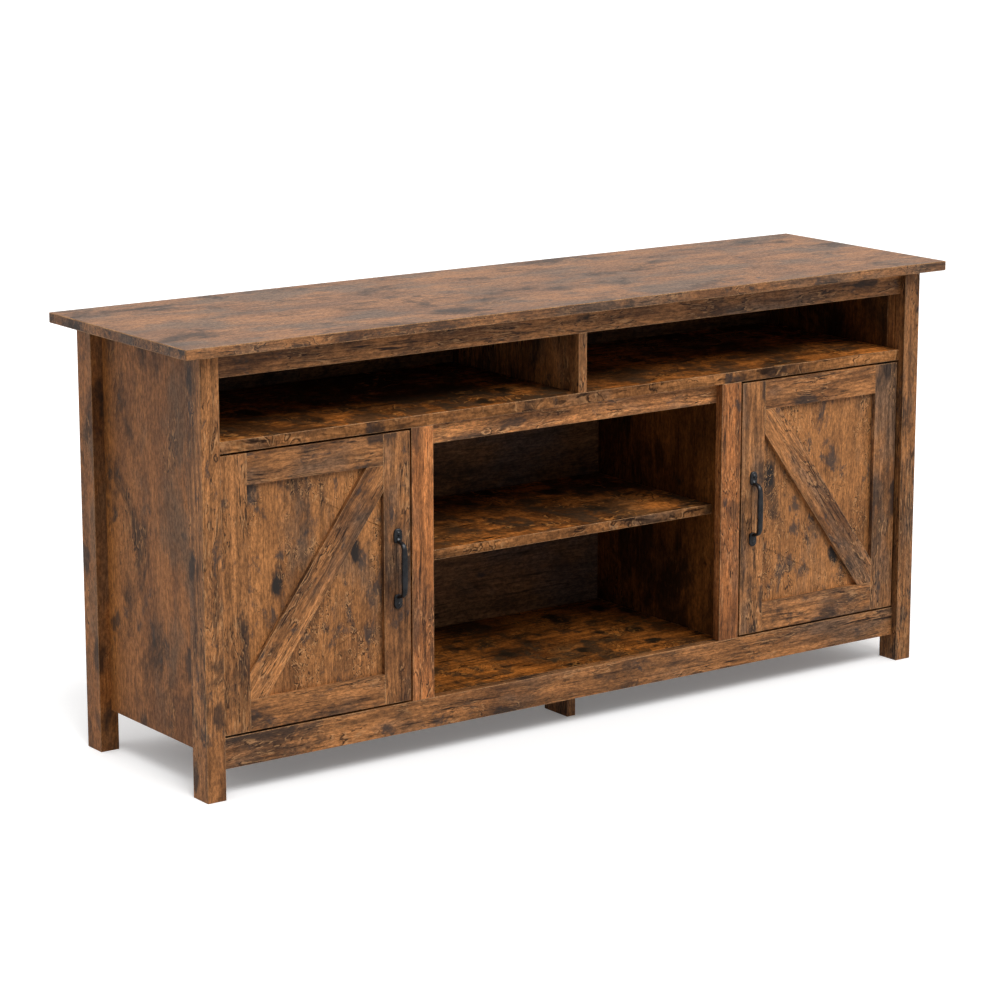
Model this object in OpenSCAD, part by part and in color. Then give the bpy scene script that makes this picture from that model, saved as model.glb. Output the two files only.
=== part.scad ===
// TV stand with two framed doors, two open cubbies and an open centre bay.
// Origin: on the floor, under the centre of the top. +X to the right, -Y to the front, +Z up.

/* [Overall] */
// Length of the top
top_len = 1475; // [1400:5:1600]
// Depth of the top
top_depth = 410; // [390:5:450]
// Height of the top's upper face above the floor
height = 690; // [660:5:720]
// Thickness of the top
top_t = 16; // [15:1:22]
// Overhang of the top past the legs at each end
side_overhang = 36; // [20:1:50]
// Overhang of the top past the front legs
front_overhang = 24; // [10:1:35]
// Overhang of the top past the back legs
back_overhang = 20; // [10:1:35]

/* [Carcass] */
// Width of a leg across the front
leg_w = 32; // [30:1:40]
// Depth of a leg from front to back
leg_d = 42; // [38:1:50]
// Thickness of the side panels
side_t = 12; // [12:1:14]
// Height of the side panels' lower edge above the floor
side_clear = 65; // [50:1:72]
// Thickness of rails, shelves and dividers
board_t = 16; // [15:1:18]
// Thickness of the long shelf under the cubbies
media_t = 18; // [16:1:20]
// Set-back of rails, stiles and doors behind the front legs
rail_setback = 12; // [8:1:14]
// Height of the rail under the top
top_rail_h = 38; // [34:1:44]
// Clear height of the top cubbies under that rail
cubby_h = 95; // [85:1:110]
// Height of the bottom rail
bottom_rail_h = 48; // [40:1:60]
// Height of the bottom rail's lower edge above the floor
rail_clear = 44; // [36:1:50]
// Thickness of the back sheets
back_t = 4; // [3:0.5:5]

/* [Centre bay] */
// Clear width between the centre stiles
bay_w = 570; // [500:5:600]
// Width of a centre stile
stile_w = 40; // [36:1:44]
// Height of the header rail under the long shelf
header_h = 33; // [28:1:40]
// Height of the shelves' upper faces above the floor
shelf_z = 316; // [260:1:340]
// Set-back of the centre shelf behind the rails
shelf_setback = 37; // [34:1:60]
// Set-back of the shelves behind the doors
cabinet_setback = 60; // [50:1:90]
// Distance of the centre foot to the right of the middle
foot_x = 14; // [0:1:40]
// Depth of the centre foot from front to back
foot_depth = 62; // [50:1:80]

/* [Doors] */
// Gap round each door
door_gap = 3.5; // [2.2:0.1:4.2]
// Thickness of a door's inner panel
panel_t = 10; // [9:1:14]
// Thickness of the boards laid on the panel
trim_t = 8; // [4:0.5:8]
// Width of the boards laid on the panel
trim_w = 48; // [42:1:56]
// Distance of the hinge axis from the door's hinged edge
pivot_in = 20; // [19:0.5:24]
// Distance of the hinge axis behind the door's front face
pivot_back = 11; // [10.5:0.5:11.5]
// Diameter of the hinge pins
pin_d = 5; // [4:0.5:5.5]

/* [Handles] */
// Overall length of a pull
pull_len = 126; // [110:1:160]
// Width of the pull's grip
pull_w = 9.5; // [8:0.5:12]
// Thickness of the pull's grip
pull_t = 6; // [5:0.5:7]
// Distance of the grip's outer face from the door
pull_out = 23; // [20:1:34]
// Width of the pull's feet
pull_foot_w = 15; // [12:0.5:18]
// Length of the pull's feet
pull_foot_len = 22; // [18:1:26]
// Thickness of the pull's feet
pull_foot_t = 4; // [3:0.5:5]

/* [Fasteners] */
// Diameter of the wooden dowels
dowel_d = 8; // [6:1:8]
// Length of dowel in the face of a board
dowel_face = 10; // [8:1:12]
// Length of dowel in the end of a board
dowel_end = 20; // [15:1:22]
// Diameter of the cam locks
cam_d = 15; // [12:1:15]
// Distance of a cam's centre from the joint
cam_reach = 24; // [20:1:30]
// Radial clearance of dowels, cams and nails in their bores
clearance = 0.1; // [0.05:0.05:0.2]

/* [Hidden] */
$fn = 48;
front = -top_depth / 2;
back = top_depth / 2;
under_top = height - top_t;

leg_out = top_len / 2 - side_overhang;
leg_in = leg_out - leg_w;
leg_front = front + front_overhang;
leg_back = back - back_overhang;
front_leg_rear = leg_front + leg_d;
back_leg_face = leg_back - leg_d;

rail_y = leg_front + rail_setback;
rail_rear = rail_y + board_t;
sheet_recess = 4;
groove_depth = 8;
groove_slack = 0.5;
sheet_rear = leg_back - sheet_recess;
sheet_front = sheet_rear - back_t;

top_rail_z = under_top - top_rail_h;
media_top = top_rail_z - cubby_h;
media_under = media_top - media_t;
rail_top = rail_clear + bottom_rail_h;
floor_under = rail_top - board_t;
header_z = media_under - header_h;
shelf_under = shelf_z - board_t;

stile_in = bay_w / 2;
stile_out = stile_in + stile_w;
divider_step = 12;
divider_in = stile_in + divider_step;
divider_out = divider_in + board_t;
divider_x = (divider_in + divider_out) / 2;
shelf_slack = 0.5;
shelf_rear_gap = 2;

door_in = stile_out + door_gap;
door_out = leg_in - door_gap;
door_low = rail_top + door_gap;
door_high = media_under - door_gap;
door_mid = (door_low + door_high) / 2;
panel_front = rail_y + trim_t;
panel_rear = panel_front + panel_t;
field_in = door_in + trim_w;
field_out = door_out - trim_w;
field_low = door_low + trim_w;
field_high = door_high - trim_w;
pivot_x = door_out - pivot_in;
pivot_y = rail_y + pivot_back;
pin_in_door = 14;
pin_in_bush = 8;
pin_collar_d = 9;
pin_play = 0.05;
bush_d = 9;
bush_depth = 9;
bush_flange_d = 12;
bush_flange_t = 1;
collar_play = 0.5;
pin_collar_t = door_gap - bush_flange_t - collar_play;

pull_x = door_in + trim_w / 2;
pull_bend_r = 18;
pull_arch_half = pull_len / 2 - pull_foot_len + pull_t;
screw_d = 3.6;
screw_head_d = 7.6;
screw_head_h = 2.2;
screw_in = 12;
screw_z = pull_len / 2 - pull_foot_w / 2;

catch_w = 46;
catch_h = 12;
catch_depth = 14;
catch_in = 40;
catch_x = door_in + catch_in;
catch_gap = 0.5;
strike_d = 16;
strike_t = 1;
strike_front = panel_rear + strike_t;
catch_front = strike_front + catch_gap;
magnet_w = 30;
magnet_h = 6;
magnet_depth = 4;

catch_corner = [catch_x - catch_w / 2, catch_front, media_under - catch_h];
magnet_corner = [catch_x - magnet_w / 2, catch_front, media_under - (catch_h + magnet_h) / 2];
magnet_size = [magnet_w, magnet_depth, magnet_h];

cam_bolt_face = 8;
cam_bolt_d = 5;
cam_depth_thick = 12.5;
cam_depth_thin = 9.5;
peg_d = 5;
peg_in = 7;
peg_out = 7;
nail_d = 1.6;
nail_in = 14;
nail_head_d = 4.5;
nail_head_t = 0.8;
bore_over = 1;
touch = 0.01;
SIDES = [-1, 1];

foot_setback = 56;
foot_front = leg_front + foot_setback;
rail_mid_y = (rail_y + rail_rear) / 2;
side_mid_x = leg_in + side_t / 2;
front_leg_mid_y = leg_front + leg_d / 2;
back_leg_mid_y = leg_back - leg_d / 2;
leg_mid_x = leg_in + leg_w / 2;
header_mid_y = rail_rear + board_t / 2;
stile_mid_x = (stile_in + stile_out) / 2;
media_mid_z = media_top - media_t / 2;
floor_mid_z = floor_under + board_t / 2;
peg_z = shelf_under - peg_d / 2;

// Where the fasteners sit along the boards they join.
rail_dowel_in = 10;
floor_dowel_up = 2;
top_dowels_z = [top_rail_z + rail_dowel_in, under_top - rail_dowel_in];
bottom_dowels_z = [rail_clear + rail_dowel_in, floor_under + floor_dowel_up];
side_rows_z = [130, 370, 610];
cubby_dowels_y = [-100, 100];
divider_dowels_y = [-90, 120];
leg_rows_y = [front_leg_mid_y, back_leg_mid_y];
top_rail_dowel_part = 0.6;
floor_dowel_parts = [0.25, 0.7];
foot_dowel_parts = [0.25, 0.75];
cam_rows_y = [-70, 95];
center_pegs_y = [-100, 140];
cabinet_pegs_y = [-80, 140];
nail_x = [30, 150, 260, 350, 500, 640];
divider_nail_z = [180, 300, 420];
nail_offset = 4;

// Each joint is [point on the joint's plane, direction into the board's end].
DOWELS = concat(
    [for (s = SIDES, z = top_dowels_z) [[s * leg_in, rail_mid_y, z], [-s, 0, 0]]],
    [for (s = SIDES, z = bottom_dowels_z) [[s * leg_in, rail_mid_y, z], [-s, 0, 0]]],
    [for (s = SIDES, z = side_rows_z) [[s * side_mid_x, front_leg_rear, z], [0, 1, 0]]],
    [for (s = SIDES, z = side_rows_z) [[s * side_mid_x, back_leg_face, z], [0, -1, 0]]],
    [for (s = SIDES) [[s * divider_in, header_mid_y, header_z + header_h / 2], [-s, 0, 0]]],
    [for (s = SIDES) [[s * bay_w / 4, header_mid_y, media_under], [0, 0, -1]]],
    [for (s = SIDES) [[s * stile_mid_x, rail_mid_y, rail_top], [0, 0, 1]]],
    [for (s = SIDES) [[s * stile_mid_x, rail_mid_y, media_under], [0, 0, -1]]],
    [for (y = cubby_dowels_y) [[0, y, media_top], [0, 0, 1]]],
    [for (y = cubby_dowels_y) [[0, y, under_top], [0, 0, -1]]],
    [for (s = SIDES, y = divider_dowels_y) [[s * divider_x, y, rail_top], [0, 0, 1]]],
    [for (s = SIDES, y = divider_dowels_y) [[s * divider_x, y, media_under], [0, 0, -1]]],
    [for (s = SIDES, y = leg_rows_y) [[s * leg_mid_x, y, under_top], [0, 0, -1]]],
    [for (s = SIDES) [[s * leg_in * top_rail_dowel_part, rail_mid_y, under_top], [0, 0, -1]]],
    [for (s = SIDES, k = floor_dowel_parts) [[s * leg_in * k, rail_rear, floor_mid_z], [0, 1, 0]]],
    [for (k = foot_dowel_parts) [[foot_x, foot_front + foot_depth * k, floor_under], [0, 0, -1]]]
);

// Each cam joint is [point on the joint's plane, direction into the cam's board, towards the
// cam's open face, half the board's thickness, depth of the cam].
CAMS = concat(
    [for (s = SIDES, y = cam_rows_y)
        [[s * leg_in, y, media_mid_z], [-s, 0, 0], [0, 0, -1], media_t / 2, cam_depth_thick]],
    [for (s = SIDES, y = cam_rows_y)
        [[s * leg_in, y, floor_mid_z], [-s, 0, 0], [0, 0, -1], board_t / 2, cam_depth_thick]],
    [for (s = SIDES, y = cam_rows_y)
        [[s * side_mid_x, y, under_top], [0, 0, -1], [-s, 0, 0], side_t / 2, cam_depth_thin]]
);

// Each shelf peg is [point on the wall, direction out of the wall].
PEGS = concat(
    [for (s = SIDES, y = center_pegs_y) [[s * divider_in, y, peg_z], [-s, 0, 0]]],
    [for (s = SIDES, y = cabinet_pegs_y) [[s * divider_out, y, peg_z], [s, 0, 0]]],
    [for (s = SIDES, y = cabinet_pegs_y) [[s * leg_in, y, peg_z], [-s, 0, 0]]]
);

// Each nail is the point where it passes from a back sheet into a board.
NAILS = concat(
    [for (s = SIDES, x = nail_x, z = [floor_mid_z, media_mid_z]) [s * x, sheet_front, z]],
    [for (s = SIDES, t = SIDES, z = divider_nail_z) [s * divider_x + t * nail_offset, sheet_front, z]]
);

// True where point p lies in or on the box from lo to hi.
function within(p, lo, hi) = min([for (i = [0:2]) min(p[i] - lo[i], hi[i] - p[i])]) >= -touch;

function cam_center(c) = c[0] + c[1] * cam_reach;

// Turns +Z to direction d and moves the origin to p.
module along(p, d) {
    translate(p) rotate([0, acos(d.z), atan2(d.y, d.x)]) children();
}

// Keeps the right-hand shape, or mirrors it to the left.
module on_side(side) {
    mirror([side < 0 ? 1 : 0, 0, 0]) children();
}

module rod(d, from, to) {
    translate([0, 0, from]) cylinder(d = d, h = to - from);
}

// Every bore that a board from lo to hi needs for the fasteners that reach it.
module fastener_bores(lo, hi) {
    for (j = DOWELS) if (within(j[0], lo, hi))
        along(j[0], j[1]) rod(dowel_d + 2 * clearance, -dowel_face, dowel_end);
    for (c = CAMS) if (within(c[0], lo, hi))
        along(c[0], c[1]) rod(cam_bolt_d + 2 * clearance, -cam_bolt_face, cam_reach);
    for (c = CAMS) if (within(cam_center(c), lo, hi))
        along(cam_center(c), c[2]) rod(cam_d + 2 * clearance, c[3] - c[4], c[3] + bore_over);
    for (j = PEGS) if (within(j[0], lo, hi))
        along(j[0], j[1]) rod(peg_d + 2 * clearance, -peg_in, bore_over);
    for (p = NAILS) if (within(p, lo, hi))
        along(p, [0, 1, 0]) rod(nail_d + 2 * clearance, -nail_in, back_t + bore_over);
}

// A board from its lowest to its highest corner, with its fastener bores.
module board(lo, hi) {
    difference() {
        translate(lo) cube(hi - lo);
        fastener_bores(lo, hi);
    }
}

// A board at the same height and depth on either side of the middle.
module side_board(side, x, y, z) {
    board([side > 0 ? x[0] : -x[1], y[0], z[0]], [side > 0 ? x[1] : -x[0], y[1], z[1]]);
}

module top_panel() {
    color("#6e4a30") board([-top_len / 2, front, under_top], [top_len / 2, back, height]);
}

module top_front_rail() {
    color("#7a5030") board([-leg_in, rail_y, top_rail_z], [leg_in, rail_rear, under_top]);
}

module bottom_front_rail() {
    color("#7a5030") difference() {
        board([-leg_in, rail_y, rail_clear], [leg_in, rail_rear, rail_top]);
        for (side = SIDES) bushing_bore(side, rail_top, -1);
    }
}

module front_leg(side) {
    color("#83532f") side_board(side, [leg_in, leg_out], [leg_front, front_leg_rear], [0, under_top]);
}

// The back leg is grooved for the edge of the back sheet.
module back_leg(side) {
    color("#74492b") difference() {
        side_board(side, [leg_in, leg_out], [back_leg_face, leg_back], [0, under_top]);
        on_side(side)
            translate([leg_in - bore_over, sheet_front - clearance, floor_under - clearance])
                cube([groove_depth + bore_over, back_t + 2 * clearance, under_top]);
    }
}

module side_panel(side) {
    color("#6b4a34")
        side_board(side, [leg_in, leg_in + side_t], [front_leg_rear, back_leg_face], [side_clear, under_top]);
}

module media_shelf() {
    color("#7a4a26") difference() {
        board([-leg_in, rail_y, media_under], [leg_in, sheet_front, media_top]);
        for (side = SIDES) bushing_bore(side, media_under, 1);
    }
}

// The cubby divider is notched round the rail under the top.
module cubby_divider() {
    half = board_t / 2;
    color("#7a5030") difference() {
        board([-half, rail_y, media_top], [half, sheet_front, under_top]);
        translate([-half - bore_over, rail_y - bore_over, top_rail_z])
            cube([board_t + 2 * bore_over, board_t + bore_over, top_rail_h + bore_over]);
    }
}

module bottom_panel() {
    color("#7a4a26") board([-leg_in, rail_rear, floor_under], [leg_in, sheet_front, rail_top]);
}

module center_foot() {
    half = board_t / 2;
    color("#5c3b24")
        board([foot_x - half, foot_front, 0], [foot_x + half, foot_front + foot_depth, floor_under]);
}

module divider(side) {
    color("#6e4326")
        side_board(side, [divider_in, divider_out], [rail_rear, sheet_front], [rail_top, media_under]);
}

module stile(side) {
    color("#8a5630")
        side_board(side, [stile_in, stile_out], [rail_y, rail_rear], [rail_top, media_under]);
}

module header_rail() {
    color("#7a5030")
        board([-divider_in, rail_rear, header_z], [divider_in, rail_rear + board_t, media_under]);
}

module center_shelf() {
    half = divider_in - shelf_slack;
    color("#7a4a26")
        board([-half, rail_y + shelf_setback, shelf_under], [half, sheet_front - shelf_rear_gap, shelf_z]);
}

module cabinet_shelf(side) {
    color("#7a4a26") side_board(side,
        [divider_out + shelf_slack, leg_in - shelf_slack],
        [rail_y + cabinet_setback, sheet_front - shelf_rear_gap],
        [shelf_under, shelf_z]);
}

// The middle sheet meets the outer ones behind the dividers; the outer ones sit in the legs' grooves.
module back_sheet_center() {
    half = divider_x - clearance;
    color("#5a3a26") board([-half, sheet_front, floor_under], [half, sheet_rear, under_top]);
}

module back_sheet(side) {
    color("#5a3a26") side_board(side,
        [divider_x + clearance, leg_in + groove_depth - groove_slack],
        [sheet_front, sheet_rear],
        [floor_under, under_top]);
}

module bushing_bore(side, z, up) {
    on_side(side)
        along([pivot_x, pivot_y, z], [0, 0, up]) rod(bush_d + 2 * clearance, -bore_over, bush_depth);
}

// One flanged bushing, standing in a board whose surface is at the origin.
module bushing() {
    difference() {
        union() {
            rod(bush_d, 0, bush_depth);
            rod(bush_flange_d, -bush_flange_t, 0);
        }
        rod(pin_d + 2 * pin_play, -bush_flange_t - bore_over, bush_depth - bush_flange_t + clearance);
    }
}

module hinge_bushings() {
    color("#e4e0d4") for (side = SIDES) on_side(side) {
        along([pivot_x, pivot_y, rail_top], [0, 0, -1]) bushing();
        along([pivot_x, pivot_y, media_under], [0, 0, 1]) bushing();
    }
}

// One pin, seated in a door's edge at the origin and pointing out of the door.
module hinge_pin() {
    rod(pin_d, -pin_in_door, door_gap + pin_in_bush);
    rod(pin_collar_d, 0, pin_collar_t);
}

module hinge_pins(side) {
    color("#a8acb0") on_side(side) {
        along([pivot_x, pivot_y, door_low], [0, 0, -1]) hinge_pin();
        along([pivot_x, pivot_y, door_high], [0, 0, 1]) hinge_pin();
    }
}

// Bores of a door that the handle screws and the hinge pins fill.
module door_bores() {
    for (end = SIDES)
        along([pull_x, rail_y, door_mid + end * screw_z], [0, 1, 0])
            rod(screw_d + 2 * clearance, -bore_over, screw_in + clearance);
    along([pivot_x, pivot_y, door_low], [0, 0, 1]) rod(pin_d + 2 * pin_play, -bore_over, pin_in_door);
    along([pivot_x, pivot_y, door_high], [0, 0, -1]) rod(pin_d + 2 * pin_play, -bore_over, pin_in_door);
}

module door_panel(side) {
    color("#86542c") on_side(side) difference() {
        translate([door_in, panel_front, door_low])
            cube([door_out - door_in, panel_t, door_high - door_low]);
        door_bores();
    }
}

// A board laid on the door panel, from its lower inner to its upper outer corner.
module trim_board(x, z) {
    difference() {
        translate([x[0], rail_y, z[0]]) cube([x[1] - x[0], trim_t, z[1] - z[0]]);
        door_bores();
    }
}

module door_hinge_stile(side) {
    color("#7d5233") on_side(side) trim_board([field_out, door_out], [door_low, door_high]);
}

module door_handle_stile(side) {
    color("#7d5233") on_side(side) trim_board([door_in, field_in], [door_low, door_high]);
}

module door_top_rail(side) {
    color("#7d5233") on_side(side) trim_board([field_in, field_out], [field_high, door_high]);
}

module door_bottom_rail(side) {
    color("#7d5233") on_side(side) trim_board([field_in, field_out], [door_low, field_low]);
}

// The brace runs from the hinged bottom corner to the free top corner and is cut to the frame.
module door_brace(side) {
    field_w = field_out - field_in;
    field_h = field_high - field_low;
    slope = atan2(field_h, -field_w);
    reach = norm([field_w, field_h]);
    color("#8a5a35") on_side(side)
        translate([0, panel_front, 0]) rotate([90, 0, 0]) linear_extrude(height = trim_t)
            intersection() {
                translate([field_in, field_low]) square([field_w, field_h]);
                translate([(field_in + field_out) / 2, (field_low + field_high) / 2])
                    rotate(slope) square([reach, trim_w], center = true);
            }
}

// Quarter of the pull's bend, in the plane of distance from the door and height.
module pull_bend() {
    intersection() {
        difference() {
            circle(r = pull_bend_r);
            circle(r = pull_bend_r - pull_t);
        }
        square(pull_bend_r);
    }
}

// Side outline of the arch: straight grip, two quarter bends and two short legs.
module pull_outline() {
    straight = pull_arch_half - pull_bend_r;
    translate([pull_out - pull_t, -straight]) square([pull_t, 2 * straight]);
    for (end = SIDES) mirror([0, end < 0 ? 1 : 0]) {
        translate([pull_out - pull_bend_r, straight]) pull_bend();
        translate([0, pull_arch_half - pull_t]) square([pull_out - pull_bend_r, pull_t]);
    }
}

// One foot plate, round at its outer end, lying on the door with its screw hole.
module pull_foot() {
    linear_extrude(height = pull_foot_t) difference() {
        union() {
            translate([0, screw_z]) circle(d = pull_foot_w);
            translate([-pull_foot_w / 2, pull_len / 2 - pull_foot_len])
                square([pull_foot_w, pull_foot_len - pull_foot_w / 2]);
        }
        translate([0, screw_z]) circle(d = screw_d + 2 * clearance);
    }
}

module handle(side) {
    color("#1c1d20") on_side(side) translate([pull_x, rail_y, door_mid]) {
        translate([pull_w / 2, 0, 0]) rotate([90, 0, -90])
            linear_extrude(height = pull_w) pull_outline();
        for (end = SIDES) mirror([0, 0, end < 0 ? 1 : 0])
            rotate([90, 0, 0]) pull_foot();
    }
}

// One screw along +Z: a shank up to the origin's plane, then a domed head.
module screw() {
    dome_r = (pow(screw_head_d / 2, 2) + pow(screw_head_h, 2)) / (2 * screw_head_h);
    rod(screw_d, -screw_in - pull_foot_t, 0);
    intersection() {
        translate([0, 0, screw_head_h - dome_r]) sphere(r = dome_r);
        rod(screw_head_d, 0, screw_head_h);
    }
}

module handle_screws(side) {
    color("#26272a") on_side(side) for (end = SIDES)
        along([pull_x, rail_y - pull_foot_t, door_mid + end * screw_z], [0, -1, 0]) screw();
}

module strike_plate(side) {
    color("#b4b6b8") on_side(side)
        along([catch_x, panel_rear, media_under - catch_h], [0, 1, 0]) rod(strike_d, 0, strike_t);
}

module catch_bodies() {
    color("#3a2a20") for (side = SIDES) on_side(side) difference() {
        translate(catch_corner) cube([catch_w, catch_depth, catch_h]);
        translate(magnet_corner - [0, bore_over, 0]) cube(magnet_size + [0, bore_over, 0]);
    }
}

module catch_magnets() {
    color("#8c8f94") for (side = SIDES) on_side(side) translate(magnet_corner) cube(magnet_size);
}

module shelf_pegs() {
    color("#b8bbbe") for (j = PEGS) along(j[0], j[1]) rod(peg_d, -peg_in, peg_out);
}

module wood_dowels() {
    color("#c9a26b") for (j = DOWELS) along(j[0], j[1]) rod(dowel_d, -dowel_face, dowel_end);
}

// One cam, open to the bolt's head, with a cross slot in its face.
module cam_locks() {
    slot_w = 1.6;
    slot_len = 9;
    slot_depth = 3;
    head_room = 7;
    color("#b9bcc0") for (c = CAMS) difference() {
        along(cam_center(c), c[2]) rod(cam_d, c[3] - c[4], c[3]);
        along(cam_center(c), -c[1]) rod(head_room, -head_room / 2, cam_d);
        along(cam_center(c) + c[2] * c[3], c[2]) for (turn = [45, 135])
            rotate(turn) cube([slot_len, slot_w, 2 * slot_depth], center = true);
    }
}

module cam_bolts() {
    color("#9a9da2") for (c = CAMS) along(c[0], c[1]) rod(cam_bolt_d, -cam_bolt_face, cam_reach);
}

module back_nails() {
    color("#8f9296") for (p = NAILS) along(p, [0, 1, 0]) {
        rod(nail_d, -nail_in, back_t);
        rod(nail_head_d, back_t, back_t + nail_head_t);
    }
}

top_panel();
top_front_rail();
bottom_front_rail();
front_leg(-1);  // front_leg_left
front_leg(1);  // front_leg_right
back_leg(-1);  // back_leg_left
back_leg(1);  // back_leg_right
side_panel(-1);  // side_panel_left
side_panel(1);  // side_panel_right
media_shelf();
cubby_divider();
bottom_panel();
center_foot();
divider(-1);  // divider_left
divider(1);  // divider_right
stile(-1);  // stile_left
stile(1);  // stile_right
header_rail();
center_shelf();
cabinet_shelf(-1);  // cabinet_shelf_left
cabinet_shelf(1);  // cabinet_shelf_right
back_sheet(-1);  // back_sheet_left
back_sheet_center();
back_sheet(1);  // back_sheet_right
door_panel(-1);  // door_panel_left
door_hinge_stile(-1);  // door_hinge_stile_left
door_handle_stile(-1);  // door_handle_stile_left
door_top_rail(-1);  // door_top_rail_left
door_bottom_rail(-1);  // door_bottom_rail_left
door_brace(-1);  // door_brace_left
door_panel(1);  // door_panel_right
door_hinge_stile(1);  // door_hinge_stile_right
door_handle_stile(1);  // door_handle_stile_right
door_top_rail(1);  // door_top_rail_right
door_bottom_rail(1);  // door_bottom_rail_right
door_brace(1);  // door_brace_right
handle(-1);  // handle_left
handle(1);  // handle_right
handle_screws(-1);  // handle_screws_left
handle_screws(1);  // handle_screws_right
hinge_pins(-1);  // hinge_pins_left
hinge_pins(1);  // hinge_pins_right
hinge_bushings();
strike_plate(-1);  // strike_plate_left
strike_plate(1);  // strike_plate_right
catch_bodies();
catch_magnets();
shelf_pegs();
wood_dowels();
cam_locks();
cam_bolts();
back_nails();
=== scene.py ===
"""A rustic brown TV stand with two framed doors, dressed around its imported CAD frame."""
import math

import bmesh
import bpy
from mathutils import Euler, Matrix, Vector


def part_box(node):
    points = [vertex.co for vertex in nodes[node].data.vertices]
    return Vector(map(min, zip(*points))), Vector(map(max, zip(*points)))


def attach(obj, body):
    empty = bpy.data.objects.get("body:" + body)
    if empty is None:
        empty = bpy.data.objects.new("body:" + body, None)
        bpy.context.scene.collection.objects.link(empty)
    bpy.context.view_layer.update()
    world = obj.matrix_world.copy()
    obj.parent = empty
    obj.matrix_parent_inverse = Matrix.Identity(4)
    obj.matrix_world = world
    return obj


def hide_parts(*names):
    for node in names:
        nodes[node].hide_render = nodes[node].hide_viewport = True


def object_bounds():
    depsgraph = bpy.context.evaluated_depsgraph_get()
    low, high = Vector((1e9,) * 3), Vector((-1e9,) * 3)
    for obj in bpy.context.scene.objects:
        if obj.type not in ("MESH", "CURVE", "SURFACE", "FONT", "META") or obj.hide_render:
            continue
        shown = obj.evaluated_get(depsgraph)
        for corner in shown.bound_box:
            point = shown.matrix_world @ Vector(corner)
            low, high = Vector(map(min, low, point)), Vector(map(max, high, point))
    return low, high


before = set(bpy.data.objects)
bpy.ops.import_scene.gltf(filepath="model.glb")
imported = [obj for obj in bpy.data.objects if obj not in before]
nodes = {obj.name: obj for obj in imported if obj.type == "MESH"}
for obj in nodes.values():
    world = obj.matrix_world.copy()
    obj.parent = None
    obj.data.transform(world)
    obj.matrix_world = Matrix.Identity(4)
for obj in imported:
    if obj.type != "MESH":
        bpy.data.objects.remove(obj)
cad_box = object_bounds()

MM = 0.001


# ---------------------------------------------------------------- node building

class Graph:
    """Adds shader nodes to a tree; values that are sockets are linked, others are set."""

    def __init__(self, tree):
        self.tree = tree

    def feed(self, socket, value):
        if isinstance(value, bpy.types.NodeSocket):
            self.tree.links.new(value, socket)
        else:
            socket.default_value = value

    def add(self, kind, settings=None, **inputs):
        """Adds a node; an underscore in an input's name stands for a space."""
        node = self.tree.nodes.new(kind)
        for name, value in (settings or {}).items():
            setattr(node, name, value)
        for name, value in inputs.items():
            self.feed(node.inputs[name.replace("_", " ")], value)
        return node

    def math(self, operation, *values, clamp=False):
        node = self.add("ShaderNodeMath", {"operation": operation, "use_clamp": clamp})
        for socket, value in zip(node.inputs, values):
            self.feed(socket, value)
        return node.outputs[0]

    def vector(self, operation, *values):
        node = self.add("ShaderNodeVectorMath", {"operation": operation})
        for socket, value in zip(node.inputs, values):
            self.feed(socket, value)
        return node.outputs[0]

    def place(self):
        """The point's place in its own object, in metres."""
        return self.add("ShaderNodeTexCoord").outputs["Object"]

    def noise(self, vector, detail=4.0, rough=0.55, distortion=0.0):
        return self.add("ShaderNodeTexNoise", Vector=vector, Scale=1.0, Detail=detail,
                        Roughness=rough, Distortion=distortion)

    def even_noise(self, frequency, **settings):
        """A noise that is the same in all directions."""
        return self.noise(self.vector("MULTIPLY", self.place(), (frequency,) * 3),
                          **settings).outputs["Fac"]

    def span(self, value, low, high, to_low=0.0, to_high=1.0):
        """Maps low..high smoothly to to_low..to_high and holds the ends."""
        node = self.add("ShaderNodeMapRange", {"interpolation_type": "SMOOTHSTEP"})
        for name, number in (("Value", value), ("From Min", low), ("From Max", high),
                             ("To Min", to_low), ("To Max", to_high)):
            self.feed(node.inputs[name], number)
        return node.outputs[0]

    def mix(self, factor, first, second, blend="MIX"):
        """Mixes two colours."""
        node = self.add("ShaderNodeMix", {"data_type": "RGBA", "blend_type": blend})
        self.feed(node.inputs[0], factor)
        self.feed(node.inputs[6], first)
        self.feed(node.inputs[7], second)
        return node.outputs[2]

    def mix_numbers(self, factor, first, second):
        node = self.add("ShaderNodeMix", {"data_type": "FLOAT"}, Factor=factor, A=first, B=second)
        return node.outputs[0]

    def bump(self, height, strength, distance):
        return self.add("ShaderNodeBump", Height=height, Strength=strength,
                        Distance=distance).outputs[0]


def new_group(name, inputs, outputs):
    """A shader node group with its sockets, and a Graph to fill it."""
    tree = bpy.data.node_groups.new(name, "ShaderNodeTree")
    for socket, kind in inputs:
        tree.interface.new_socket(socket, in_out="INPUT", socket_type=kind)
    for socket, kind in outputs:
        tree.interface.new_socket(socket, in_out="OUTPUT", socket_type=kind)
    return tree, Graph(tree), tree.nodes.new("NodeGroupInput"), tree.nodes.new("NodeGroupOutput")


def new_material(name):
    """An empty node material, its Graph and its Principled shader."""
    material = bpy.data.materials.new(name)
    material.use_nodes = True
    shader = material.node_tree.nodes["Principled BSDF"]
    return material, Graph(material.node_tree), shader


# ---------------------------------------------------------------- rustic wood

TAN = (0.400, 0.170, 0.056, 1)
BROWN = (0.150, 0.060, 0.020, 1)
MIDDLE = (0.275, 0.115, 0.038, 1)
GREY = (0.130, 0.086, 0.058, 1)
STAIN = (0.020, 0.015, 0.013, 1)
SMUDGE = (0.036, 0.030, 0.029, 1)
CRACK = (0.020, 0.008, 0.003, 1)
PALE = (0.56, 0.30, 0.13, 1)
PRINT_STRENGTHS = ["Calm", "Clouds", "Smudges", "Veins", "Streaks"]


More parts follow.
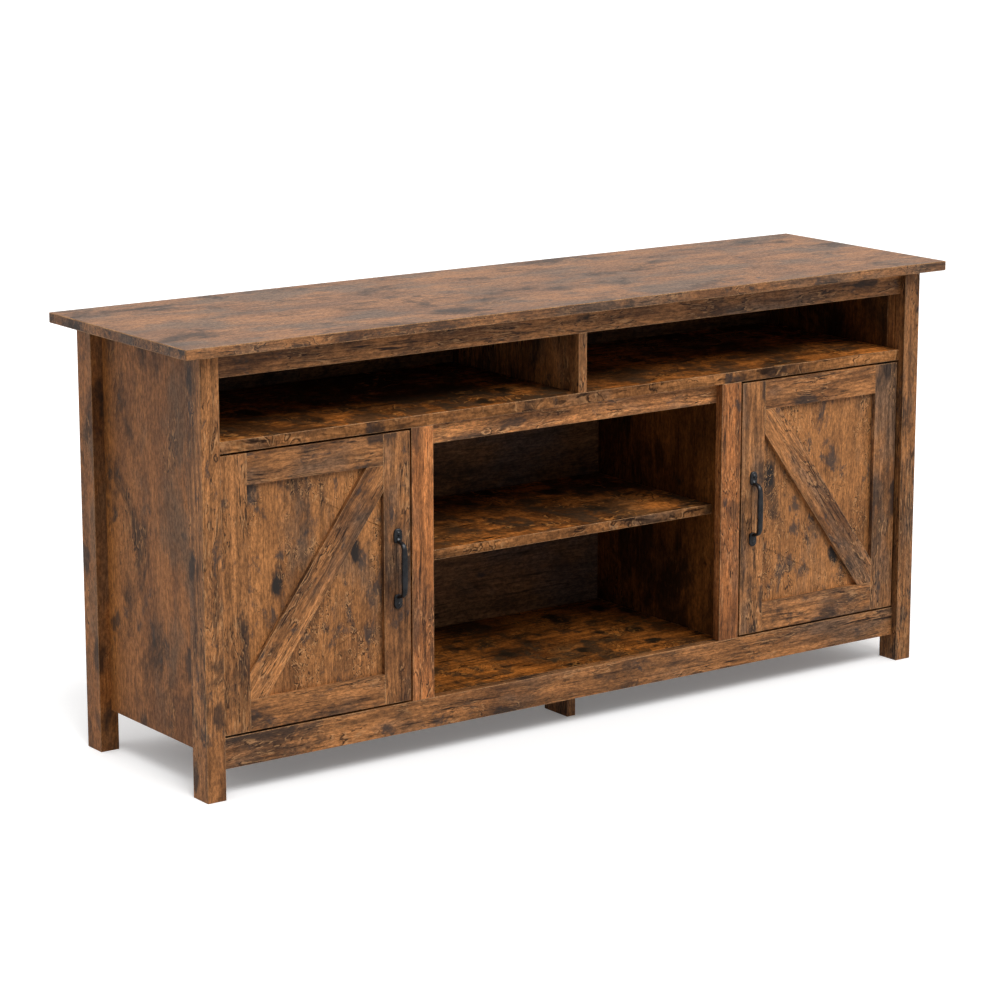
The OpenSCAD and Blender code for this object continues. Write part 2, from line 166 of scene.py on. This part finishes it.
class WoodPrint:
    """The layers of the printed wood; the grain runs along X, and frequencies are per metre."""

    def __init__(self, graph, given):
        self.g = graph
        self.given = given
        flow = self.bend(given["Vector"], 2.2, 8.0, (0.05, 0.024, 0.024))
        self.flow = self.bend(flow, 15.0, 48.0, (0.006, 0.005, 0.005))
        self.mottle = self.noise(120.0, 330.0, detail=5.0, rough=0.75)
        self.streak = self.noise(6.0, 150.0, detail=6.0, rough=0.66)
        self.cell = graph.add("ShaderNodeTexVoronoi", Vector=self.stretch(self.flow, 8.0, 18.0),
                              Scale=1.0).outputs["Distance"]

    def stretch(self, place, grain, across):
        """Scales a place by one frequency along the grain and another across it."""
        return self.g.vector("MULTIPLY", place, (grain, across, across))

    def bend(self, place, grain, across, reach):
        """Bends the grain by a slow noise."""
        shove = self.g.noise(self.stretch(place, grain, across), detail=2.0).outputs["Color"]
        shove = self.g.vector("SUBTRACT", shove, (0.5, 0.5, 0.5))
        return self.g.vector("ADD", place, self.g.vector("MULTIPLY", shove, reach))

    def noise(self, grain, across, **settings):
        return self.g.noise(self.stretch(self.flow, grain, across), **settings).outputs["Fac"]

    def lean(self, value, name, amount):
        """Pushes a noise value up or down by one of the group's inputs."""
        push = self.g.math("MULTIPLY", self.g.math("SUBTRACT", self.given[name], 0.5), amount)
        return self.g.math("ADD", value, push)

    def shade(self, color, value, low, high, reach=0.18):
        """Multiplies a colour by low to high, as a noise value passes its middle."""
        factor = self.g.span(value, 0.5 - reach, 0.5 + reach, low, high)
        return self.g.mix(1.0, color, factor, "MULTIPLY")

    def grain(self):
        """Brown and tan with a grey wash, mottled, streaked and fibrous."""
        g = self.g
        tone = self.noise(4.0, 11.0, detail=7.0, rough=0.66)
        color = g.mix(g.span(tone, 0.34, 0.60), BROWN, TAN)
        color = g.mix(self.given["Calm"], color, MIDDLE)
        wash = self.lean(self.noise(4.5, 11.0, detail=6.0, rough=0.62), "Greyness", 0.3)
        color = g.mix(g.span(wash, 0.48, 0.66, 0.0, 0.7), color, GREY)
        color = self.shade(color, self.mottle, 0.68, 1.28, reach=0.10)
        color = g.mix(self.given["Streaks"], color, self.shade(color, self.streak, 0.46, 1.50))
        fibre = self.noise(28.0, 820.0, detail=3.0, rough=0.6)
        return self.shade(color, fibre, 1.14, 0.74)

    def clouds(self):
        """Where soft dark clouds lie."""
        cloud = self.noise(5.0, 11.0, detail=10.0, rough=0.70, distortion=0.4)
        return self.g.span(self.lean(cloud, "Clouds", 0.30), 0.51, 0.65, 0.0, 0.80)

    def smudges(self):
        """Where smaller dark smudges lie, which gather in places."""
        g = self.g
        gather = g.math("SUBTRACT", self.noise(7.0, 10.0, detail=2.0), 0.5)
        smudge = self.noise(20.0, 36.0, detail=8.0, rough=0.68, distortion=0.3)
        smudge = g.math("ADD", smudge, g.math("MULTIPLY", gather, 0.30))
        return g.span(self.lean(smudge, "Smudges", 0.20), 0.56, 0.67, 0.0, 0.80)

    def knots(self):
        """Where knots lie, with ragged rims."""
        g = self.g
        ragged = g.math("SUBTRACT", self.noise(60.0, 110.0, detail=4.0), 0.5)
        knot = g.math("ADD", self.cell, g.math("MULTIPLY", ragged, 0.30))
        dark = g.math("MULTIPLY", self.given["Smudges"], 1.9, clamp=True)
        return g.math("MULTIPLY", g.span(knot, 0.25, 0.12), dark)

    def veins(self):
        """Broken contour lines of a soft noise, in patches: their pale sides, and the dark lines."""
        g = self.g
        swirl = g.noise(g.vector("MULTIPLY", self.flow, self.given["Swirl"]), detail=3.0, rough=0.6,
                        distortion=0.5).outputs["Fac"]
        swirl = g.math("ADD", g.math("MULTIPLY", swirl, 9.0), g.math("MULTIPLY", self.mottle, 0.7))
        swirl = g.math("ADD", swirl, g.math("MULTIPLY", g.span(self.cell, 0.6, 0.1), 2.5))
        patch = self.noise(9.0, 20.0, detail=4.0, rough=0.6)
        patch = g.span(self.lean(patch, "Veins", 0.34), 0.54, 0.64)
        broken = self.noise(50.0, 110.0, detail=2.0)
        patch = g.math("MULTIPLY", patch, g.span(broken, 0.40, 0.50))

        def contour(offset, width):
            wave = g.math("FRACT", g.math("ADD", swirl, offset))
            away = g.math("ABSOLUTE", g.math("SUBTRACT", wave, 0.5))
            return g.math("MULTIPLY", g.span(away, width, 0.0), patch)

        return contour(0.23, 0.15), contour(0.0, 0.16)

    def splits(self):
        """Where dark splits lie along the grain, in clusters."""
        g = self.g
        split = self.noise(14.0, 300.0, detail=3.0, rough=0.55, distortion=0.2)
        cluster = self.noise(7.0, 26.0, detail=3.0)
        split = g.math("MULTIPLY", g.span(split, 0.58, 0.66), g.span(cluster, 0.42, 0.56))
        return g.math("MULTIPLY", split, self.given["Streaks"])


def rustic_wood_group():
    """Printed rustic wood, from the layers of WoodPrint."""
    tree, g, given, result = new_group(
        "rustic_wood",
        [("Vector", "NodeSocketVector"), ("Greyness", "NodeSocketFloat")]
        + [(name, "NodeSocketFloat") for name in PRINT_STRENGTHS]
        + [("Swirl", "NodeSocketVector"), ("Tint", "NodeSocketColor")],
        [("Color", "NodeSocketColor"), ("Roughness", "NodeSocketFloat"),
         ("Height", "NodeSocketFloat")])
    layers = WoodPrint(g, given.outputs)
    clouds = layers.clouds()
    pale_side, vein = layers.veins()
    split = layers.splits()

    color = g.mix(clouds, layers.grain(), STAIN)
    color = g.mix(layers.smudges(), color, SMUDGE)
    color = g.mix(layers.knots(), color, STAIN)
    color = g.mix(g.math("MULTIPLY", pale_side, 0.58), color, PALE)
    color = g.mix(g.math("MULTIPLY", vein, 0.95), color, CRACK)
    color = g.mix(g.math("MULTIPLY", split, 1.1, clamp=True), color, CRACK)
    color = g.mix(1.0, color, given.outputs["Tint"], "MULTIPLY")

    rough = g.span(layers.mottle, 0.3, 0.7, 0.58, 0.44)
    rough = g.math("ADD", rough, g.math("MULTIPLY", clouds, 0.10))
    height = g.math("ADD", g.math("MULTIPLY", layers.streak, 0.4),
                    g.math("MULTIPLY", layers.mottle, 0.4))
    height = g.math("SUBTRACT", height, g.math("MULTIPLY", g.math("MAXIMUM", split, vein), 0.6))
    g.feed(result.inputs["Color"], color)
    g.feed(result.inputs["Roughness"], rough)
    g.feed(result.inputs["Height"], height)
    return tree


WOOD_GROUP = rustic_wood_group()
# Each look's size of the pattern, gloss, and frequencies of the veins.
LOOKS = {
    "trim": ((1.0, 1.0, 1.0), 0.25, (4.5, 46.0, 46.0)),
    "stile": ((0.9, 1.0, 1.0), 0.25, (4.0, 48.0, 48.0)),
    "panel": ((1.0, 1.0, 1.0), 0.25, (26.0, 44.0, 44.0)),
    "top": ((1.3, 1.0, 1.0), 0.40, (9.0, 46.0, 46.0)),
    "side": ((0.9, 0.75, 0.75), 0.25, (9.0, 46.0, 46.0)),
    "floor": ((1.4, 0.6, 0.6), 0.10, (12.0, 30.0, 30.0)),
    "shelf": ((1.1, 0.42, 0.42), 0.10, (10.0, 24.0, 24.0)),
    "inside": ((0.9, 0.8, 0.8), 0.10, (9.0, 46.0, 46.0)),
    "back": ((0.8, 0.6, 0.6), 0.12, (9.0, 46.0, 46.0)),
}
# Each look's tint, and then its strengths: calm, clouds, smudges, veins, streaks.
PRINTS = {
    "trim": ((1.00, 0.97, 0.95), 0.0, 0.50, 0.42, 0.78, 0.85),
    "stile": ((1.02, 0.86, 0.76), 0.3, 0.42, 0.34, 0.74, 0.90),
    "panel": ((1.06, 1.02, 0.95), 0.1, 0.44, 0.60, 0.74, 0.40),
    "top": ((0.85, 0.82, 0.74), 0.40, 0.52, 0.20, 0.36, 0.50),
    "side": ((1.01, 0.89, 0.70), 0.2, 0.56, 0.40, 0.50, 0.16),
    "floor": ((1.04, 0.78, 0.40), 0.0, 0.60, 0.82, 0.70, 1.0),
    "shelf": ((1.26, 0.96, 0.55), 0.0, 0.74, 0.95, 0.70, 1.0),
    # The inside look's dark, dull tint is painted shade: the bays' shade on the dividers and the side
    # panels' inner faces.
    "inside": ((0.66, 0.54, 0.36), 0.1, 0.70, 0.34, 0.40, 0.45),
    # The back look's blue-heavy tint paints a bluish sheen on the back sheets.
    "back": ((0.70, 0.82, 1.10), 0.5, 0.50, 0.15, 0.20, 0.50),
}
# Looks with a second print: on the edges of a level board, and on the inner face of a side panel, where
# the dark inside look paints shade.
SECOND_PRINTS_AND_SHADE = {"top": "trim", "floor": "trim", "shelf": "trim", "side": "inside"}
# Darkens the second print: the edges of level boards, and the painted shade on a side panel's inner face.
SECOND_SHADE = 0.78
FACING = 0.7
PRINT_BUMP = 0.4 * MM


def second_faces(g, look, inward):
    """1 on the faces that carry a look's second print (on a side panel's inner face, its painted shade),
    0 on the others.
    """
    normal = g.add("ShaderNodeTexCoord").outputs["Normal"]
    normal = g.add("ShaderNodeSeparateXYZ", Vector=normal).outputs
    if look == "side":
        return g.math("GREATER_THAN", g.math("MULTIPLY", normal["X"], inward), FACING)
    return g.math("LESS_THAN", g.math("ABSOLUTE", normal["Z"]), FACING)


def shaded(tint, factor):
    """A tint made brighter or darker, with its alpha."""
    return tuple(channel * factor for channel in tint) + (1.0,)


def wood(name, turn, shift, look, grey, bright, inward):
    """Rustic wood for one board: its grain direction, and its own stretch of the print."""
    size, gloss, swirl = LOOKS[look]
    tint, *strengths = PRINTS[look]
    # The brightness scales the tint; on header_rail and divider_right it paints light and shade.
    tint = shaded(tint, bright)
    material, g, shader = new_material(name)
    lie = g.add("ShaderNodeMapping", Vector=g.place(), Rotation=Euler(turn), Location=shift)
    vector = g.vector("MULTIPLY", lie.outputs[0], size)
    # On a side panel's inner face the second print is the dark inside look, painted shade.
    if look in SECOND_PRINTS_AND_SHADE:
        print_and_shade_mask = second_faces(g, look, inward)
        other_tint, *others = PRINTS[SECOND_PRINTS_AND_SHADE[look]]
        tint = g.mix(print_and_shade_mask, tint, shaded(other_tint, SECOND_SHADE))
        strengths = [g.mix_numbers(print_and_shade_mask, *pair) for pair in zip(strengths, others)]
    print_ = g.add("ShaderNodeGroup", {"node_tree": WOOD_GROUP}, Vector=vector, Greyness=grey,
                   Swirl=swirl, Tint=tint, **dict(zip(PRINT_STRENGTHS, strengths)))
    g.feed(shader.inputs["Base Color"], print_.outputs["Color"])
    g.feed(shader.inputs["Roughness"], print_.outputs["Roughness"])
    g.feed(shader.inputs["Normal"], g.bump(print_.outputs["Height"], 0.4, PRINT_BUMP))
    shader.inputs["Specular IOR Level"].default_value = gloss
    return material


def worn_and_highlit_edge():
    """Bare and stained wood along a rubbed edge, whose pale patches also paint the highlight that the
    edge catches.
    """
    material, g, shader = new_material("worn_and_highlit_edge")
    wear_and_highlight = g.even_noise(45.0, detail=6.0, rough=0.7)
    # Brown to pale: bare wood, and a painted highlight along the edge.
    color = g.mix(g.span(wear_and_highlight, 0.36, 0.64, 0.15, 0.75), BROWN, PALE)
    fine = g.even_noise(380.0, detail=4.0, rough=0.6)
    color = g.mix(1.0, color, g.span(fine, 0.35, 0.65, 0.6, 1.15), "MULTIPLY")
    g.feed(shader.inputs["Base Color"], color)
    shader.inputs["Roughness"].default_value = 0.6
    shader.inputs["Specular IOR Level"].default_value = 0.3
    return material


# ---------------------------------------------------------------- other materials

BLACK_PAINT = (0.010, 0.011, 0.013, 1)
RUBBED_PAINT = (0.030, 0.030, 0.033, 1)
DOWEL_PALE = (0.55, 0.36, 0.18, 1)
DOWEL_FLECK = (0.38, 0.22, 0.10, 1)
PLATE_SHADE = 0.72
PLATE_UNEVEN = 0.14


def black_metal():
    """Satin black paint on cast metal, a little uneven and rubbed."""
    material, g, shader = new_material("black_metal")
    rub = g.even_noise(70.0, detail=5.0)
    color = g.mix(g.span(rub, 0.4, 0.7), BLACK_PAINT, RUBBED_PAINT)
    g.feed(shader.inputs["Base Color"], color)
    g.feed(shader.inputs["Roughness"], g.span(rub, 0.35, 0.7, 0.25, 0.42))
    g.feed(shader.inputs["Normal"], g.bump(g.even_noise(420.0, detail=4.0), 0.25, 0.2 * MM))
    shader.inputs["Metallic"].default_value = 0.45
    return material


def small_part(name, base, metallic, rough):
    """Plated metal, a magnet or moulded plastic, with fine unevenness."""
    material, g, shader = new_material(name)
    cloud = g.even_noise(260.0, detail=5.0)
    color = g.mix(g.span(cloud, 0.35, 0.7), shaded(base, 1), shaded(base, PLATE_SHADE))
    g.feed(shader.inputs["Base Color"], color)
    g.feed(shader.inputs["Roughness"], g.span(cloud, 0.3, 0.7, rough, rough + PLATE_UNEVEN))
    g.feed(shader.inputs["Normal"], g.bump(cloud, 0.15, 0.1 * MM))
    shader.inputs["Metallic"].default_value = metallic
    return material


def dowel_wood():
    """Plain pale wood of the dowels."""
    material, g, shader = new_material("dowel_wood")
    place = g.vector("MULTIPLY", g.place(), (300.0, 300.0, 90.0))
    fleck = g.noise(place, detail=4.0).outputs["Fac"]
    g.feed(shader.inputs["Base Color"], g.mix(g.span(fleck, 0.4, 0.65), DOWEL_PALE, DOWEL_FLECK))
    shader.inputs["Roughness"].default_value = 0.6
    return material


def paint(node, *materials):
    nodes[node].data.materials.clear()
    for material in materials:
        nodes[node].data.materials.append(material)


# ---------------------------------------------------------------- dressing the boards

BRACE_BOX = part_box("door_brace_left")
BRACE_SPAN = BRACE_BOX[1] - BRACE_BOX[0]
BRACE_SLOPE = math.atan2(BRACE_SPAN.z, BRACE_SPAN.x)
GRAIN_TURNS = {
    "x": (0.0, 0.0, 0.0),
    "z": (0.0, math.radians(90), 0.0),
    "up": (0.0, BRACE_SLOPE, 0.0),
    "down": (0.0, -BRACE_SLOPE, 0.0),
}
# Node name, grain direction, look, greyness, brightness; the brightness is each board's own tone, and on
# header_rail it also paints light over the shade under the shelf.
BOARDS = [
    ("top_panel", "x", "top", 0.60, 1.00),
    ("top_front_rail", "x", "trim", 0.46, 0.90),
    ("bottom_front_rail", "x", "trim", 0.52, 0.86),
    ("center_foot", "z", "trim", 0.50, 0.80),
    ("front_leg_left", "z", "trim", 0.42, 0.95),
    ("front_leg_right", "z", "trim", 0.42, 0.77),
    ("back_leg_left", "z", "side", 0.48, 1.05),
    ("back_leg_right", "z", "side", 0.50, 1.00),
    ("side_panel_left", "z", "side", 0.55, 0.98),
    ("side_panel_right", "z", "side", 0.55, 0.98),
    ("media_shelf", "x", "shelf", 0.40, 1.05),
    ("cubby_divider", "z", "trim", 0.48, 0.90),
    ("bottom_panel", "x", "floor", 0.25, 0.80),
    # header_rail is made much brighter: painted light over the shade beneath the shelf.
    ("header_rail", "x", "trim", 0.32, 1.68),
    # The dividers take the dark inside look, painted shade of the bays.
    ("divider_left", "z", "inside", 0.40, 0.85),
    # divider_right is darker still: painted shade on its face that the key lamp leaves unlit.
    ("divider_right", "z", "inside", 0.40, 0.72),
    ("stile_left", "z", "stile", 0.22, 1.24),
    ("stile_right", "z", "stile", 0.26, 1.10),
    ("center_shelf", "x", "shelf", 0.35, 0.92),
    ("cabinet_shelf_left", "x", "floor", 0.40, 0.90),
    ("cabinet_shelf_right", "x", "floor", 0.40, 0.90),
    # The back sheets' blue-heavy tint is a painted bluish sheen.
    ("back_sheet_left", "x", "back", 0.60, 1.00),
    ("back_sheet_center", "x", "back", 0.60, 1.00),
    ("back_sheet_right", "x", "back", 0.60, 1.00),
    ("door_panel_left", "z", "panel", 0.42, 1.00),
    ("door_panel_right", "z", "panel", 0.38, 1.02),
    ("door_hinge_stile_left", "z", "trim", 0.46, 0.80),
    ("door_hinge_stile_right", "z", "trim", 0.55, 0.96),
    ("door_handle_stile_left", "z", "trim", 0.50, 0.92),
    ("door_handle_stile_right", "z", "trim", 0.52, 0.98),
    ("door_top_rail_left", "x", "trim", 0.60, 0.80),
    ("door_top_rail_right", "x", "trim", 0.42, 1.12),
    ("door_bottom_rail_left", "x", "trim", 0.60, 0.86),
    ("door_bottom_rail_right", "x", "trim", 0.58, 0.94),
    ("door_brace_left", "up", "trim", 0.38, 1.00),
    ("door_brace_right", "down", "trim", 0.50, 1.00),
]
# The direction along X in which a side panel's inner face points; that face gets painted shade.
INWARD = {"side_panel_left": 1, "side_panel_right": -1}
PRINT_STEP = Vector((3.7, 1.9, 2.3))
BOARD_EDGE = 0.7 * MM
TRIM_EDGE = 0.6 * MM
TOP_EDGE = 1.3 * MM
EDGE_SEGMENTS = 2
# The bevels' material slot: worn wood with a painted pale highlight.
WORN_AND_HIGHLIT_SLOT = 1
SHARP_ANGLE = math.radians(40)
WELD_REACH = 0.01 * MM


def edge_width(node):
    if node == "top_panel":
        return TOP_EDGE
    if node.startswith(("door_", "back_sheet")):
        return TRIM_EDGE
    return BOARD_EDGE


def soften(node):
    """Rounds a board's edges slightly, so that they catch the light, and gives them worn wood with a
    painted pale highlight.
    """
    piece = nodes[node]
    weld = piece.modifiers.new("weld", "WELD")
    weld.merge_threshold = WELD_REACH
    bevel = piece.modifiers.new("edges", "BEVEL")
    bevel.width = edge_width(node)
    bevel.segments = EDGE_SEGMENTS
    bevel.limit_method = "ANGLE"
    bevel.angle_limit = SHARP_ANGLE
    bevel.use_clamp_overlap = False
    bevel.material = WORN_AND_HIGHLIT_SLOT


def dress_boards():
    # The edge material is wear and a painted highlight on the bevels.
    wear_and_highlight = worn_and_highlit_edge()
    for number, (node, grain, look, grey, bright) in enumerate(BOARDS, start=1):
        board = wood(node, GRAIN_TURNS[grain], PRINT_STEP * number, look, grey, bright,
                     INWARD.get(node, 0))
        paint(node, board, wear_and_highlight)
        soften(node)


# ---------------------------------------------------------------- pulls

# Along a pull from the middle to its end, in mm: height, distance from the door, width, thickness.
PULL_PATH = [
    (0.0, 19.6, 10.6, 6.6), (14.0, 19.6, 10.4, 6.5), (26.0, 19.5, 9.8, 6.3), (34.0, 18.8, 8.8, 6.0),
    (39.0, 16.2, 8.0, 5.8), (41.2, 12.4, 7.4, 5.6), (42.2, 8.6, 7.4, 5.4), (43.6, 5.4, 8.2, 5.2),
    (47.0, 3.2, 9.2, 4.4), (52.0, 2.2, 9.2, 3.0),
]
PATH_STEPS = 5
STRAP_RING = 20
STRAP_POWER = 2.8
# Layers of a foot plate, in mm: height, and how far the outline is drawn in.
FOOT_LAYERS = [(0.0, 0.0), (2.2, 0.0), (3.2, 0.5), (3.8, 1.3), (4.0, 2.4)]
FOOT_HALF_WIDTH = 7.5
FOOT_LENGTH = 23.0
FOOT_RING = 32
FOOT_OUTER_POWER = 2.8
FOOT_INNER_POWER = 3.6
PULL_VOXEL = 0.55 * MM
PULL_EASE = 0.5
PULL_EASE_STEPS = 5
PULL_FACES_KEPT = 0.25


def smooth_path(rows, steps):
    """Points on a smooth curve through the rows, by Catmull-Rom."""
    rows = [Vector(r) for r in rows]
    rows = [rows[0] * 2 - rows[1]] + rows + [rows[-1] * 2 - rows[-2]]
    path = []
    for a, b, c, d in zip(rows, rows[1:], rows[2:], rows[3:]):
        for step in range(steps):
            t = step / steps
            path.append(0.5 * (2 * b + (c - a) * t + (2 * a - 5 * b + 4 * c - d) * t ** 2
                               + (3 * b - a - 3 * c + d) * t ** 3))
    return path + [rows[-2]]


def skin(mesh, rings):
    """Closes a stack of rings into a solid."""
    loops = [[mesh.verts.new(p) for p in ring] for ring in rings]
    for low, high in zip(loops, loops[1:]):
        for i in range(len(low)):
            j = (i + 1) % len(low)
            mesh.faces.new((low[i], low[j], high[j], high[i]))
    mesh.faces.new(list(reversed(loops[0])))
    mesh.faces.new(loops[-1])


def rounded(angle, power):
    """A point on a superellipse with unit half-widths."""
    c, s = math.cos(angle), math.sin(angle)
    return (math.copysign(abs(c) ** (2 / power), c), math.copysign(abs(s) ** (2 / power), s))


def pull_strap(mesh, center, face):
    """The arched strap, a rounded section swept along the pull's path."""
    half = smooth_path(PULL_PATH, PATH_STEPS)
    path = [Vector((-p[0], *p[1:])) for p in reversed(half[1:])] + half
    rings = []
    for i, (z, out, width, thick) in enumerate(path):
        before, after = path[max(i - 1, 0)], path[min(i + 1, len(path) - 1)]
        run = Vector((0, -(after[1] - before[1]), after[0] - before[0])).normalized()
        across = run.cross(Vector((1, 0, 0)))
        ring = []
        for k in range(STRAP_RING):
            u, v = rounded(2 * math.pi * k / STRAP_RING, STRAP_POWER)
            point = Vector((u * width / 2, -out, z)) + across * (v * thick / 2)
            ring.append(Vector((center.x, face, center.z)) + point * MM)
        rings.append(ring)
    skin(mesh, rings)


def pull_foot(mesh, center, face, end, half_len):
    """A domed foot plate, round at its outer end."""
    rings = []
    for height, inset in FOOT_LAYERS:
        ring = []
        for k in range(FOOT_RING):
            power = FOOT_OUTER_POWER if k <= FOOT_RING / 2 else FOOT_INNER_POWER
            u, v = rounded(2 * math.pi * k / FOOT_RING, power)
            x = u * (FOOT_HALF_WIDTH - inset)
            z = half_len / MM - FOOT_LENGTH / 2 + v * (FOOT_LENGTH / 2 - inset)
            ring.append(Vector((center.x + x * MM, face - height * MM, center.z + end * z * MM)))
        rings.append(ring if end > 0 else list(reversed(ring)))
    skin(mesh, rings)


def settle(piece):
    """Applies a piece's modifiers to its mesh."""
    graph = bpy.context.evaluated_depsgraph_get()
    mesh = bpy.data.meshes.new_from_object(piece.evaluated_get(graph))
    piece.modifiers.clear()
    piece.data = mesh


def pull(side, material):
    """A cast pull: two foot plates and an arched strap, run together as one casting."""
    low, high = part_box(f"handle_{side}")
    center = (low + high) / 2
    face = high.y
    work = bmesh.new()
    pull_strap(work, center, face)
    for end in (-1, 1):
        pull_foot(work, center, face, end, (high.z - low.z) / 2)
    bmesh.ops.recalc_face_normals(work, faces=work.faces)
    mesh = bpy.data.meshes.new(f"pull_{side}")
    work.to_mesh(mesh)
    work.free()
    piece = bpy.data.objects.new(f"pull_{side}", mesh)
    bpy.context.scene.collection.objects.link(piece)
    fuse = piece.modifiers.new("fuse", "REMESH")
    fuse.mode = "VOXEL"
    fuse.voxel_size = PULL_VOXEL
    ease = piece.modifiers.new("ease", "SMOOTH")
    ease.factor = PULL_EASE
    ease.iterations = PULL_EASE_STEPS
    thin = piece.modifiers.new("thin", "DECIMATE")
    thin.ratio = PULL_FACES_KEPT
    settle(piece)
    for polygon in piece.data.polygons:
        polygon.use_smooth = True
    piece.data.materials.append(material)
    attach(piece, f"{side}_door")
    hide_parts(f"handle_{side}")


def dress_hardware():
    black = black_metal()
    steel = small_part("steel", (0.60, 0.61, 0.63), 1.0, 0.28)
    zinc = small_part("zinc", (0.52, 0.53, 0.55), 1.0, 0.42)
    nylon = small_part("nylon", (0.030, 0.022, 0.018), 0.0, 0.45)
    brown = small_part("catch_plastic", (0.085, 0.048, 0.028), 0.0, 0.5)
    magnet = small_part("magnet", (0.32, 0.33, 0.35), 1.0, 0.35)
    for side in ("left", "right"):
        paint(f"handle_{side}", black)
        pull(side, black)
        paint(f"handle_screws_{side}", black)
        paint(f"hinge_pins_{side}", black)
        paint(f"strike_plate_{side}", steel)
    for node in ("shelf_pegs", "cam_bolts", "back_nails"):
        paint(node, steel)
    paint("cam_locks", zinc)
    paint("hinge_bushings", nylon)
    paint("catch_bodies", brown)
    paint("catch_magnets", magnet)
    paint("wood_dowels", dowel_wood())


# ---------------------------------------------------------------- studio

WHITE = (1.0, 1.0, 1.0, 1)
FLOOR_REACH = 60.0
# How pale the floor is and how much it glows, and how bright the backdrop is, where the camera sees them.
FLOOR_SEEN = 1.0
FLOOR_GLOW = 0.15
BACKDROP = 1.0
# How pale the floor and how bright the dome are in the light that they throw on everything else.
FLOOR_BOUNCE = 0.58
DOME_LOW = 0.16
DOME_HIGH = 0.90
DOME_LEAN = (0.0, 0.6, 1.0)
# Lamps: degrees right of the front, degrees up, degrees across, strength.
KEY_LAMP = (24, 50, 40, 2.7)
FLOOR_LAMP = (-14, 56, 30, 1.75)
# Camera: degrees right of the front, degrees up, metres away, millimetres of lens.
CAMERA_AZIMUTH = -35.75
CAMERA_ELEVATION = 12.64
CAMERA_DISTANCE = 5.342
CAMERA_LENS = 118.4
CAMERA_AIM = Vector((-0.026, 0.017, -0.007))


def direction(azimuth, elevation):
    """The unit vector from the object toward an azimuth and an elevation, in degrees."""
    a, e = math.radians(azimuth), math.radians(elevation)
    return Vector((math.sin(a) * math.cos(e), -math.cos(a) * math.cos(e), math.sin(e)))


def seen_or_not(g, seen, unseen):
    """One value where the camera looks straight at a surface, another for its light on the rest."""
    path = g.add("ShaderNodeLightPath").outputs["Is Camera Ray"]
    return g.mix_numbers(path, unseen, seen)


def studio_floor():
    """A plain pale floor that runs far past the object."""
    mesh = bpy.data.meshes.new("studio_floor")
    corners = [(x * FLOOR_REACH, y * FLOOR_REACH, 0) for x, y in ((-1, -1), (1, -1), (1, 1), (-1, 1))]
    mesh.from_pydata(corners, [], [(0, 1, 2, 3)])
    floor = bpy.data.objects.new("studio_floor", mesh)
    bpy.context.scene.collection.objects.link(floor)
    material, g, shader = new_material("studio_floor")
    pale = seen_or_not(g, FLOOR_SEEN, FLOOR_BOUNCE)
    color = g.add("ShaderNodeCombineColor", Red=pale, Green=pale, Blue=pale).outputs[0]
    g.feed(shader.inputs["Base Color"], color)
    shader.inputs["Roughness"].default_value = 1.0
    shader.inputs["Specular IOR Level"].default_value = 0.0
    shader.inputs["Emission Color"].default_value = WHITE
    g.feed(shader.inputs["Emission Strength"], seen_or_not(g, FLOOR_GLOW, 0.0))
    mesh.materials.append(material)
    return floor


def sun_light(name, azimuth, elevation, spread, strength):
    light = bpy.data.lights.new(name, "SUN")
    light.angle = math.radians(spread)
    light.energy = strength
    lamp = bpy.data.objects.new(name, light)
    lamp.rotation_euler = direction(azimuth, elevation).to_track_quat("Z", "Y").to_euler()
    bpy.context.scene.collection.objects.link(lamp)
    return lamp


def link_light(lamp, piece, state):
    """Makes a lamp light one piece only (INCLUDE), or all but one (EXCLUDE)."""
    linked = bpy.data.collections.new(f"{lamp.name}_receiver")
    linked.objects.link(piece)
    linked.collection_objects[0].light_linking.link_state = state
    lamp.light_linking.receiver_collection = linked


def studio_world():
    """A white backdrop, and a dome that is brightest overhead and behind."""
    world = bpy.data.worlds.new("studio")
    world.use_nodes = True
    background = world.node_tree.nodes["Background"]
    g = Graph(world.node_tree)
    way = g.add("ShaderNodeTexCoord").outputs["Generated"]
    way = g.vector("NORMALIZE", way)
    lift = g.add("ShaderNodeVectorMath", {"operation": "DOT_PRODUCT"})
    g.feed(lift.inputs[0], way)
    g.feed(lift.inputs[1], DOME_LEAN)
    dome = g.span(lift.outputs["Value"], -0.5, 0.8, DOME_LOW, DOME_HIGH)
    g.feed(background.inputs["Strength"], seen_or_not(g, BACKDROP, dome))
    background.inputs["Color"].default_value = WHITE
    bpy.context.scene.world = world


def studio_light(floor):
    """A dome over all, a broad front lamp on the object, and another one on the floor."""
    studio_world()
    link_light(sun_light("key", *KEY_LAMP), floor, "EXCLUDE")
    link_light(sun_light("floor_lamp", *FLOOR_LAMP), floor, "INCLUDE")
    bpy.context.scene.view_settings.view_transform = "Standard"


def studio_camera():
    """Looks from the front left and a little above, at nearly the middle of the object."""
    low, high = cad_box
    aim = (low + high) / 2 + CAMERA_AIM
    back = direction(CAMERA_AZIMUTH, CAMERA_ELEVATION)
    data = bpy.data.cameras.new("camera")
    data.lens = CAMERA_LENS
    camera = bpy.data.objects.new("camera", data)
    camera.rotation_mode = "QUATERNION"
    camera.location = aim + back * CAMERA_DISTANCE
    camera.rotation_quaternion = (-back).to_track_quat("-Z", "Y")
    bpy.context.scene.collection.objects.link(camera)
    bpy.context.scene.camera = camera


studio_camera()
studio_light(studio_floor())
dress_boards()
dress_hardware()
